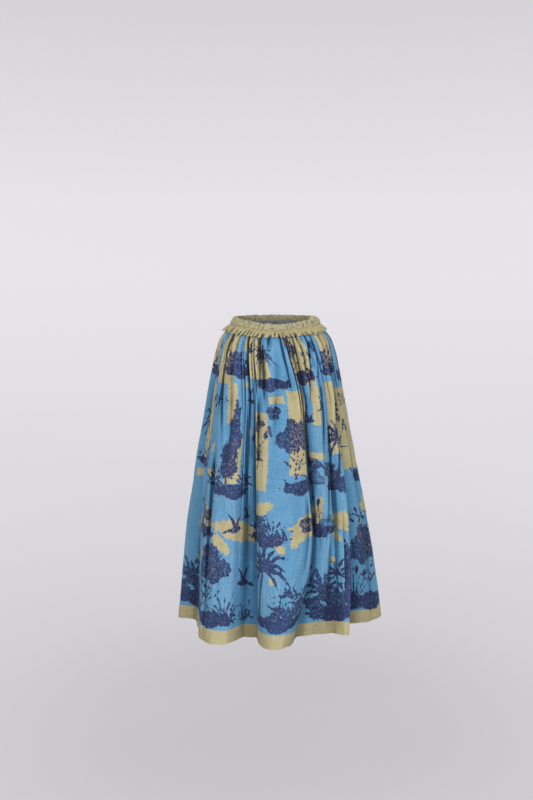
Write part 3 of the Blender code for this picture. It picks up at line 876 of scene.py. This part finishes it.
def make_band(material):
    """The ruched casing: a soft crumpled ring with a rolled upper edge."""
    turn = np.arange(BAND_COLUMNS) / BAND_COLUMNS
    angle = 360 * turn + uneven(2 * math.pi * turn, BAND_SLIPS)
    pucker = BAND_PUCKER_DEPTH * np.cos(2 * math.pi * BAND_PUCKERS * turn)
    lift = bunch_height(angle) + pucker / 2 + waves_round(turn, BAND_EDGE_WAVES)
    at, inner_profile, outer_profile = np.transpose(BAND_PROFILE)
    grids, cloths = [], []
    for rows, profile, part in ((BAND_ROWS, outer_profile, 1.0), (BAND_INNER_ROWS, inner_profile, 0.5)):
        share = np.linspace(0, 1, rows)[:, None]
        ease = np.minimum(1.0, BAND_EASE * (1 - share))
        crumples = sharp_crumples(turn, share, BAND_CRUMPLES, 1)
        detail = part * (ease * pucker + np.minimum(1, BAND_LOW_SHARE + ease) * crumples)
        proud = monotone_curve(share[:, 0], at, profile)[:, None] + detail
        grids.append(place(angle, SEAM_DROP * share - lift * (1 - share) ** 2, proud))
        # The third cloth value, the crumples' height, paints shade into their valleys
        cloths.append(stacked(BAND_CLOTH * turn, share * SEAM_DROP, detail / MM))
    ring_shell("waistband_casing", "waistband", *grids, material, cloths)


def make_frill(material):
    """The pleated strip: uneven round waves that open out over the top of the gathers."""
    count = FRILL_WAVES * FRILL_COLUMNS_PER_WAVE
    turn = np.arange(count) / count
    share = np.linspace(0, 1, FRILL_ROWS)[:, None]
    phase = 2 * math.pi * FRILL_WAVES * turn + waves_round(turn, FRILL_PHASE_SLIPS)
    varied = 1 + waves_round(turn, FRILL_DEPTH_SHARES)
    low_depth = FRILL_LOW_DEPTH + FRILL_EXTRA_DEPTH
    depth = between(FRILL_TOP_DEPTH, low_depth, share ** FRILL_DEEPENING) * varied
    proud = between(FRILL_TOP_PROUD, FRILL_LOW_PROUD, share ** FRILL_OPENING)
    proud = proud + FRILL_EXTRA_DEPTH * share + depth * np.cos(phase)
    proud = proud + np.minimum(1, 3 * share) * sharp_crumples(turn, share, FRILL_CRUMPLES, 0.5)
    lean = FRILL_OVERHANG * varied * np.sin(2 * phase) + waves_round(turn, FRILL_LEANS)
    angle = 360 * turn + uneven(2 * math.pi * turn, FRILL_SLIPS) + share * lean
    loop = np.abs(np.cos(phase / 2)) ** FRILL_LOOP_ROUNDNESS
    at, height, width = FRILL_TURN_UP
    edge = waves_round(turn, FRILL_EDGE_WAVES) + FRILL_SCALLOP * (2 * loop - 1) * varied
    edge = edge - height * hump((360 * turn - at) / width)
    drop = SEAM_DROP + PIECE_GAP + (FRILL_LENGTH + FRILL_EXTRA_LENGTH - PIECE_GAP + edge) * share
    outer = place(angle, drop, proud)
    inner = outer - FRILL_THICKNESS * outward(outer)
    inner[0, :, 2] = outer[0, :, 2]
    # Painted shade: the gaps between the loops darken towards the edge
    gap = np.clip(3 * share - 1.5 + waves_round(turn, FRILL_GAP_SHARES), 0, 1)
    shade = between(*FRILL_TONES, share) - FRILL_GAP_SHADE * gap * (1 - loop)
    cloth = stacked(FRILL_CLOTH * turn, drop, shade)
    frill = ring_shell("pleated_frill", "frill", outer, inner, material, (cloth, cloth))


# The cloths' colours and finish

SHEEN_ROUGHNESS = 0.6
BLUE = (0.066, 0.212, 0.372, 1)
BLUE_PALE = (0.128, 0.318, 0.515, 1)
# A pale grey-blue, for random rubbed marks and for a painted highlight on the ridges
RUBBED_AND_HIGHLIGHT = (0.3, 0.4, 0.5, 1)
KHAKI = (0.485, 0.428, 0.246, 1)
KHAKI_DULL = (0.31, 0.268, 0.145, 1)
NAVY = (0.018, 0.024, 0.074, 1)
NAVY_PALE = (0.042, 0.062, 0.168, 1)
# How much of its own pale ground the reverse shows
REVERSE_GROUND = (0.4, 0.42, 0.38, 1)
REVERSE_SHARE = 0.45
# Painted shade in the creases, a deeper colour multiplied into the cloth: from one drop to another, and
# by what share at each, and the same for a painted shadow just under the frill
PAINTED_SHADE_TINT = (0.05, 0.09, 0.15, 1)
FOLD_SHADE = (0.4, 0.86, 0.8, 0.2)
FRILL_SHADE = (0.046, 0.035, 0.0, 0.3)
# Band and frill: their light and dull tones, the dull one also their painted shade, and the third cloth
# value at dull and at light
BAND_KHAKI = (0.43, 0.388, 0.24, 1)
BAND_DULL_AND_SHADE = (0.23, 0.202, 0.112, 1)
BAND_SHADES = (-1.9, 1.6)
FRILL_KHAKI = (0.47, 0.41, 0.215, 1)
FRILL_DULL_AND_SHADE = (0.15, 0.122, 0.058, 1)
FRILL_SHADES = (-0.3, 1.0)
# The thicker threads' spacing, and the threads' height
SLUB = 0.0016
THREAD = 0.00022


class Shader:
    """Small helpers that add and join a material's nodes. Sizes are in metres of flat cloth."""

    def __init__(self, name, roughness, specular, sheen):
        self.material = bpy.data.materials.new(name)
        self.material.use_nodes = True
        self.tree = self.material.node_tree
        self.surface = self.tree.nodes["Principled BSDF"].inputs
        self.surface["Roughness"].default_value = roughness
        self.surface["Specular IOR Level"].default_value = specular
        self.surface["Sheen Weight"].default_value = sheen
        self.surface["Sheen Roughness"].default_value = SHEEN_ROUGHNESS

    def add(self, kind, inputs=None, **settings):
        node = self.tree.nodes.new("ShaderNode" + kind)
        for key, value in settings.items():
            setattr(node, key, value)
        for key, value in (inputs or {}).items():
            self.join(value, node.inputs[key])
        return node

    def join(self, value, socket):
        if isinstance(value, bpy.types.NodeSocket):
            self.tree.links.new(value, socket)
        else:
            socket.default_value = value

    def math(self, operation, a, b=0.0, c=0.0):
        return self.add("Math", {0: a, 1: b, 2: c}, operation=operation).outputs[0]

    def times(self, a, b, plus=None):
        return self.math("MULTIPLY", a, b) if plus is None else self.math("MULTIPLY_ADD", a, b, plus)

    def ramp(self, value, low, high, start=0.0, end=1.0):
        ends = {"Value": value, "From Min": low, "From Max": high, "To Min": start, "To Max": end}
        return self.add("MapRange", ends, interpolation_type="SMOOTHSTEP").outputs["Result"]

    def mix(self, share, a, b, blend="MIX"):
        inputs = {0: share, 6: a, 7: b}
        return self.add("Mix", inputs, data_type="RGBA", blend_type=blend).outputs[2]

    def attribute(self, name):
        node = self.add("Attribute", attribute_name=name)
        parts = self.add("SeparateXYZ", {0: node.outputs["Vector"]})
        return node.outputs["Vector"], parts.outputs

    def texture(self, kind, vector, cell, stretch, **inputs):
        scale = tuple(part / cell for part in stretch)
        scaled = self.add("VectorMath", {0: vector, 1: scale}, operation="MULTIPLY")
        return self.add(kind, {"Vector": scaled.outputs[0], "Scale": 1.0, **inputs}).outputs

    def noise(self, vector, cell, detail=2.0, roughness=0.5, stretch=(1, 1, 0)):
        inputs = {"Detail": detail, "Roughness": roughness}
        parts = self.texture("TexNoise", vector, cell, stretch, **inputs)
        return self.math("SUBTRACT", parts[0], 0.5)

    def cells(self, vector, cell, stretch):
        return self.texture("TexVoronoi", vector, cell, stretch)["Distance"]

    def lines(self, vector, pitch, tilt, distortion):
        rotated = self.add("VectorRotate", {"Vector": vector, "Angle": math.radians(tilt)})
        inputs = {"Vector": rotated.outputs[0], "Scale": math.pi / 10 / pitch, "Distortion": distortion,
                  "Detail": 1.5, "Detail Scale": 1.2}
        return self.add("TexWave", inputs, bands_direction="Y").outputs["Fac"]

    def bump(self, height, distance, normal=None):
        inputs = {"Height": height, "Distance": distance}
        if normal is not None:
            inputs["Normal"] = normal
        return self.add("Bump", inputs).outputs["Normal"]


def weave(shader, vector, pitch, soft):
    """The threads of a plain weave with some thicker ones, over a softer bump."""
    across = shader.lines(vector, pitch, 0, 0.0)
    down = shader.lines(vector, pitch, 90, 0.0)
    slub = shader.noise(vector, SLUB, 2.0, 0.6, (0.12, 1, 0))
    slub_down = shader.noise(vector, SLUB, 2.0, 0.6, (1, 0.1, 0))
    threads = shader.times(shader.times(across, down), 0.5, slub)
    threads = shader.math("ADD", threads, slub_down)
    shader.join(shader.bump(threads, THREAD, soft), shader.surface["Normal"])


def calico(name, reverse_share):
    """Plain-weave cotton with the print. The reverse shows it paler, through the cloth."""
    shader = Shader(name, 0.86, 0.15, 0.04)
    times, ramp, mix, noise = shader.times, shader.ramp, shader.mix, shader.noise
    cloth, (_, v, bend_light_and_shade) = shader.attribute("cloth")
    _, (ink, khaki, tone) = shader.attribute("print_edges")
    _, (feather, torn, _) = shader.attribute("print_style")

    # The ink: its edge breaks up like leaves, and specks of the ground show inside it
    rough = noise(cloth, 0.0085, 4.0, 0.65)
    fine = noise(cloth, 0.0026, 2.0, 0.6)
    leaves = times(shader.math("SUBTRACT", 0.42, shader.cells(cloth, 0.008, (1, 0.8, 0))), 2.6)
    ink = times(feather, times(rough, 2.6, leaves), ink)
    ink = times(fine, 0.001, ink)
    inside = ramp(ink, -0.0002, 0.0003)
    outline = ramp(ink, 0.0018, 0.001)
    specks = noise(cloth, 0.0064, 3.0, 0.7, (1, 0.7, 0))
    specks = times(shader.lines(cloth, 0.005, 28, 5.0), 0.22, specks)
    gaps = times(tone, -0.5, 0.4)
    filled = ramp(shader.math("SUBTRACT", specks, gaps), -0.03, 0.03)
    filled = shader.math("MAXIMUM", outline, filled)
    filled = shader.math("MAXIMUM", filled, ramp(rough, -0.1, 0.12, 0.1, 0.75))
    inked = times(times(inside, filled), ramp(fine, -0.34, -0.16, 0.65, 1.0))

    # The khaki shapes, with torn or dry edges
    tear = noise(cloth, 0.012, 4.0, 0.68, (1, 0.55, 0))
    dry = noise(cloth, 0.006, 2.0, 0.6, (1, 0.07, 0))
    dry = times(dry, ramp(torn, 0.0034, 0.0044, 3.0, 0.5))
    khaki = times(torn, times(tear, 5.0, dry), khaki)
    bare = ramp(times(fine, 0.0016, khaki), -0.0004, 0.0004)

    # The uneven dye, with a painted highlight that makes the ridges paler and painted shade that makes
    # the folds duller
    broad = noise(cloth, 0.06, 4.0, 0.6)
    streak = noise(cloth, 0.0052, 2.0, 0.6, (1, 0.1, 0))
    grain = noise(cloth, 0.0048, 2.0, 0.6)
    mottle_and_shading = times(broad, 1.5, times(streak, 0.6))
    mottle_and_shading = times(grain, 1.9, mottle_and_shading)
    mottle_and_shading = times(noise(cloth, 0.0034, 1.0, 0.5, (0.1, 1, 0)), 1.1, mottle_and_shading)
    mottle_and_shading = times(bend_light_and_shade, 0.65, mottle_and_shading)
    pale = ramp(mottle_and_shading, -0.85, 0.95)
    # Random rubbed marks, and a painted highlight on the ridges, towards a pale grey-blue
    rubbed_and_highlight = times(bend_light_and_shade, 0.5, times(streak, 0.8, grain))
    blue = mix(ramp(rubbed_and_highlight, 0.22, 0.95, 0.0, 0.4), mix(pale, BLUE, BLUE_PALE), RUBBED_AND_HIGHLIGHT)
    ground = mix(bare, blue, mix(pale, KHAKI_DULL, KHAKI))
    colour = mix(inked, ground, mix(ramp(mottle_and_shading, -0.2, 1.0), NAVY, NAVY_PALE))
    # Painted shade in the creases and a painted shadow under the frill, multiplied into the colour
    painted_crease_shade = times(ramp(bend_light_and_shade, -0.1, -0.75), ramp(v, *FOLD_SHADE))
    shadow = shader.math("MAXIMUM", painted_crease_shade, ramp(v, *FRILL_SHADE))
    colour = mix(shadow, colour, PAINTED_SHADE_TINT, "MULTIPLY")
    if reverse_share:
        colour = mix(reverse_share, colour, REVERSE_GROUND)
    shader.join(colour, shader.surface["Base Color"])

    # Soft wrinkles under the weave
    soft = shader.bump(noise(cloth, 0.048, 2.0, 0.5, (1, 0.45, 0)), 0.0075)
    soft = shader.bump(noise(cloth, 0.011, 3.0, 0.55, (1, 0.35, 0)), 0.0022, soft)
    weave(shader, cloth, 0.001, soft)
    return shader.material


def khaki_cotton(name, light, dull_and_shade, shade_low, shade_high):
    """Undyed khaki cotton. Its dull tone, a random mottle and a painted shade, gathers where the third
    cloth value is low: in the band's crumple valleys and in the frill's gaps.
    """
    shader = Shader(name, 0.9, 0.2, 0.15)
    cloth, (_, _, height) = shader.attribute("cloth")
    broad = shader.noise(cloth, 0.011, 3.0, 0.6)
    fine = shader.noise(cloth, 0.0034, 2.0, 0.6, (1, 0.7, 0))
    shade = shader.ramp(height, shade_low, shade_high)
    mottle_and_shading = shader.times(broad, 1.4, shader.times(fine, 1.5, shade))
    colour = shader.mix(shader.ramp(mottle_and_shading, -0.1, 1.0), dull_and_shade, light)
    shader.join(colour, shader.surface["Base Color"])
    weave(shader, cloth, 0.0009, shader.bump(shader.noise(cloth, 0.0044, 3.0, 0.65), 0.0022))
    return shader.material


def make_skirt():
    """All four pieces."""
    drops, points = skirt_surface()
    surface = (points, outward(points), drops, curvature(points))
    per_panel = GATHERS_PER_PANEL * STEPS_PER_GATHER
    materials = [calico("printed_calico", 0.0), calico("calico_reverse", REVERSE_SHARE)]
    make_panel("front_panel_cloth", "front_panel", surface, 0, per_panel, materials)
    make_panel("back_panel_cloth", "back_panel", surface, per_panel, 2 * per_panel, materials)
    make_band(khaki_cotton("band_cotton", BAND_KHAKI, BAND_DULL_AND_SHADE, *BAND_SHADES))
    make_frill(khaki_cotton("frill_cotton", FRILL_KHAKI, FRILL_DULL_AND_SHADE, *FRILL_SHADES))


# The room: a round studio bowl, so that every side has the same plain pale ground

FLOOR_Z = -1.18
# The bowl's profile: radius, height over the floor, and how brightly it glows, a painted light that
# stands in for the studio's lamps, dimmer towards the middle of the floor and the top of the wall
BOWL_PROFILE = (
    (0, 0, 0.49), (0.45, 0, 0.495), (1, 0, 0.565), (1.6, 0, 0.592), (2.6, 0, 0.614), (3.6, 0, 0.655),
    (4.1, 0.08, 0.685), (4.55, 0.3, 0.715), (4.9, 0.65, 0.74), (5.12, 1.1, 0.763), (5.2, 1.6, 0.76),
    (5.2, 2.9, 0.64), (5.2, 6, 0.56),
)
BOWL_STEPS = 96
BOWL_TINT = (1.0, 0.975, 1.03, 1)
BOWL_PAINT = (0.075, 0.0735, 0.078, 1)

CAMERA_AT = (-0.0254, -3.3, 0.233)
CAMERA_TILT = 8.1
CAMERA_LENS = 52.65
CAMERA_SENSOR = 36

SKY = (0.96, 0.97, 1.0, 1)
SKY_STRENGTH = 0.2
# Each light: name, place, size, power in watts, colour
LIGHT_TARGET = (0.0, 0.0, -0.42)
LIGHTS = (
    ("key_light", (-1.5, -3.3, 0.8), 2.2, 86, (1.0, 0.99, 0.98)),
    ("fill_light", (1.9, -3.0, 0.5), 2.2, 73, (0.98, 0.99, 1.0)),
    ("top_light", (-0.2, -0.4, 2.9), 2.2, 16, (1.0, 1.0, 1.0)),
    ("back_key_light", (2.0, 2.9, 1.2), 2.2, 84, (1.0, 1.0, 1.0)),
    ("back_fill_light", (-2.2, 2.6, 0.8), 2.2, 56, (1.0, 1.0, 1.0)),
)


def make_bowl():
    """The floor, curved up into a wall all round, lit the same from every side by its own painted glow
    and casting no colour on the cloth.
    """
    angle = 2 * math.pi * np.arange(BOWL_STEPS + 1) / BOWL_STEPS
    radius, height, glow = np.transpose(BOWL_PROFILE)[:, :, None]
    points = stacked(radius * np.sin(angle), -radius * np.cos(angle), FLOOR_Z + height)
    mesh = bpy.data.meshes.new("studio_bowl")
    mesh.from_pydata(points.reshape(-1, 3).tolist(), [], flipped(grid_faces(numbered(points))))
    layer = mesh.attributes.new("glow", "FLOAT", "POINT")
    layer.data.foreach_set("value", np.repeat(glow.ravel(), len(angle)))
    mesh.shade_smooth()
    shader = Shader("studio_paint", 0.95, 0.0, 0.0)
    shader.join(BOWL_PAINT, shader.surface["Base Color"])
    shader.join(BOWL_TINT, shader.surface["Emission Color"])
    # The painted glow, in place of lamp light on the bowl
    level = shader.add("Attribute", attribute_name="glow")
    shader.join(level.outputs["Fac"], shader.surface["Emission Strength"])
    mesh.materials.append(shader.material)
    bowl = put("studio_bowl", mesh)
    bowl.visible_diffuse = False
    bowl.visible_glossy = False
    bowl.visible_shadow = False


def make_lights():
    """Large soft lights, turned to the skirt, and an even sky."""
    for name, place_at, size, power, colour in LIGHTS:
        lamp = bpy.data.lights.new(name, "AREA")
        lamp.shape = "DISK"
        lamp.size = size
        lamp.energy = power
        lamp.color = colour
        x, y, z = np.subtract(LIGHT_TARGET, place_at)
        light = put(name, lamp)
        light.location = place_at
        light.rotation_euler = (math.pi / 2 + math.atan2(z, math.hypot(x, y)), 0, math.atan2(-x, y))
    world = bpy.data.worlds.new("studio_sky")
    world.use_nodes = True
    sky = world.node_tree.nodes["Background"]
    sky.inputs["Color"].default_value = SKY
    sky.inputs["Strength"].default_value = SKY_STRENGTH
    bpy.context.scene.world = world


def make_camera():
    """The camera, in front of the skirt and a little above its waist."""
    lens = bpy.data.cameras.new("camera")
    lens.lens = CAMERA_LENS
    lens.sensor_width = CAMERA_SENSOR
    camera = put("camera", lens)
    camera.location = CAMERA_AT
    camera.rotation_euler = (math.radians(90 - CAMERA_TILT), 0, 0)
    bpy.context.scene.camera = camera


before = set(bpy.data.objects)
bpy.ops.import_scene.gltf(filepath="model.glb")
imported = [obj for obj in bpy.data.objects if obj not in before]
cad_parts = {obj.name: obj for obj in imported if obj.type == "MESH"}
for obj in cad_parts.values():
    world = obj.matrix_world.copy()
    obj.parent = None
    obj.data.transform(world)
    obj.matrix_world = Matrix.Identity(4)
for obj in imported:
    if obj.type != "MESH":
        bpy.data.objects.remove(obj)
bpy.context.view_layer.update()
make_camera()
make_bowl()
make_lights()
make_skirt()
bpy.context.scene.view_settings.view_transform = "Standard"
